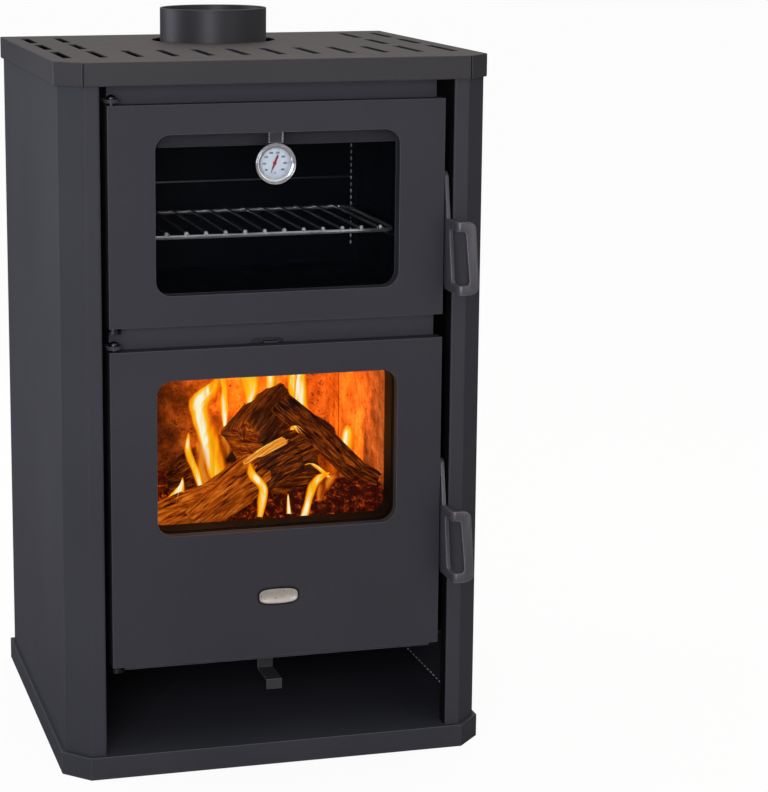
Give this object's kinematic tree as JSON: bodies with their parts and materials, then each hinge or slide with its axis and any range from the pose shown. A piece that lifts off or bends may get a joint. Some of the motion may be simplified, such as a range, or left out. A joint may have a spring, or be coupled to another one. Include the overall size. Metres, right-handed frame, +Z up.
{
  "type": "wood-burning stove with oven",
  "caption": "Upright wood-burning stove with a glazed fire door, a glazed baking oven above it, a log niche below and a round flue collar on its slotted top.",
  "frame": {"origin": "middle of the overall box's footprint, on the floor", "axes": "+X to the right seen from the front, +Y towards the back, +Z up"},
  "size_m": [0.572, 0.553, 0.976],
  "materials": {
    "black_stove_paint": "satin heat-resistant black-grey paint",
    "body_steel": "matt heat-resistant paint over welded steel sheet",
    "oven_enamel": "black stove enamel",
    "chrome": "polished",
    "cast_iron": "as cast",
    "firebrick": "dry matt fireclay",
    "charred_wood": "charred split hardwood on embers",
    "stove_glass": "clear glass ceramic, darkened by what lies behind it",
    "glass_fibre_rope": "knitted glass fibre rope",
    "zinc_steel": "zinc plated",
    "dial_white": "matt printed dial",
    "pointer_red": "red enamel",
    "nickel_plate": "satin nickel"
  },
  "bodies": {
    "cabinet": {"air_slide_guide_left": "body_steel", "air_slide_guide_right": "body_steel", "ash_pan_runner_left": "body_steel", "ash_pan_runner_right": "body_steel", "baffle_slab": "firebrick", "base_plinth": "black_stove_paint", "body_shell": "body_steel", "brick_back": "firebrick", "brick_left": "firebrick", "brick_right": "firebrick", "fire_hinge_lug_top": "black_stove_paint", "fire_hinge_pin_top": "black_stove_paint", "fire_hinge_pintle": "black_stove_paint", "fire_latch_keeper": "zinc_steel", "fire_mouth_tunnel": "body_steel", "flue_collar": "black_stove_paint", "front_plate": "body_steel", "fuel_load": "charred_wood", "grate": "cast_iron", "hearth_plate": "cast_iron", "oven_box": "oven_enamel", "oven_hinge_lug_top": "black_stove_paint", "oven_hinge_pin_top": "black_stove_paint", "oven_hinge_pintle": "black_stove_paint", "oven_latch_keeper": "zinc_steel", "rack_rail_left": "oven_enamel", "rack_rail_right": "oven_enamel", "rear_panel": "black_stove_paint", "side_panel_left": "black_stove_paint", "side_panel_right": "black_stove_paint", "support_angle_left": "body_steel", "support_angle_right": "body_steel", "top_plate": "black_stove_paint", "wash_air_guide": "body_steel"},
    "oven_door": {"oven_door_panel": "black_stove_paint", "oven_glass": "stove_glass", "oven_door_liner": "body_steel", "oven_door_gasket": "glass_fibre_rope", "oven_liner_screw_left": "zinc_steel", "oven_liner_screw_right": "zinc_steel", "oven_latch_pivot": "zinc_steel", "thermometer_case": "chrome", "thermometer_dial": "dial_white", "thermometer_lens": "stove_glass", "thermometer_clip": "zinc_steel"},
    "oven_latch": {"oven_latch_handle": "black_stove_paint"},
    "fire_door": {"fire_door_panel": "black_stove_paint", "fire_glass": "stove_glass", "fire_door_liner": "body_steel", "fire_door_gasket": "glass_fibre_rope", "fire_liner_screw_left": "zinc_steel", "fire_liner_screw_right": "zinc_steel", "fire_latch_pivot": "zinc_steel", "badge_plate": "nickel_plate"},
    "fire_latch": {"fire_latch_handle": "black_stove_paint"},
    "oven_rack": {"oven_rack": "chrome"},
    "ash_pan": {"ash_pan": "body_steel"},
    "air_slide": {"air_slide": "black_stove_paint"},
    "wash_air_slide": {"wash_air_slide": "black_stove_paint"},
    "pointer": {"thermometer_pointer": "pointer_red"}
  },
  "joints": [
    {"name": "oven_door_hinge", "type": "hinge", "parent": "cabinet", "child": "oven_door", "pos_m": [-0.214, -0.21, 0.735], "axis": [0, 0, -1], "range_deg": [0, 100]},
    {"name": "fire_door_hinge", "type": "hinge", "parent": "cabinet", "child": "fire_door", "pos_m": [-0.214, -0.21, 0.3545], "axis": [0, 0, -1], "range_deg": [0, 100]},
    {"name": "oven_latch_turn", "type": "hinge", "parent": "oven_door", "child": "oven_latch", "pos_m": [0.2252, -0.208, 0.772], "axis": [-1, 0, 0], "range_deg": [0, 25]},
    {"name": "fire_latch_turn", "type": "hinge", "parent": "fire_door", "child": "fire_latch", "pos_m": [0.2252, -0.208, 0.389], "axis": [-1, 0, 0], "range_deg": [0, 25]},
    {"name": "oven_rack_slide", "type": "slide", "parent": "cabinet", "child": "oven_rack", "axis": [0, -1, 0], "range_m": [0, 0.1301]},
    {"name": "ash_pan_slide", "type": "slide", "parent": "cabinet", "child": "ash_pan", "axis": [0, -1, 0], "range_m": [0, 0.1801]},
    {"name": "air_slide_pull", "type": "slide", "parent": "cabinet", "child": "air_slide", "axis": [0, -1, 0], "range_m": [-0.02, 0.02]},
    {"name": "wash_air_slide_push", "type": "slide", "parent": "cabinet", "child": "wash_air_slide", "axis": [1, 0, 0], "range_m": [-0.012, 0.007]},
    {"name": "pointer_turn", "type": "hinge", "parent": "oven_door", "child": "pointer", "pos_m": [-0.0035, -0.2125, 0.7975], "axis": [0, 1, 0], "range_deg": [-150, 110], "stiffness_Nm_per_rad": 0.0005}
  ],
  "couplings": [
    {"joint": "oven_rack_slide", "follows": "oven_door_hinge", "m_per_rad": 0.07448},
    {"joint": "ash_pan_slide", "follows": "fire_door_hinge", "m_per_rad": 0.10313}
  ]
}
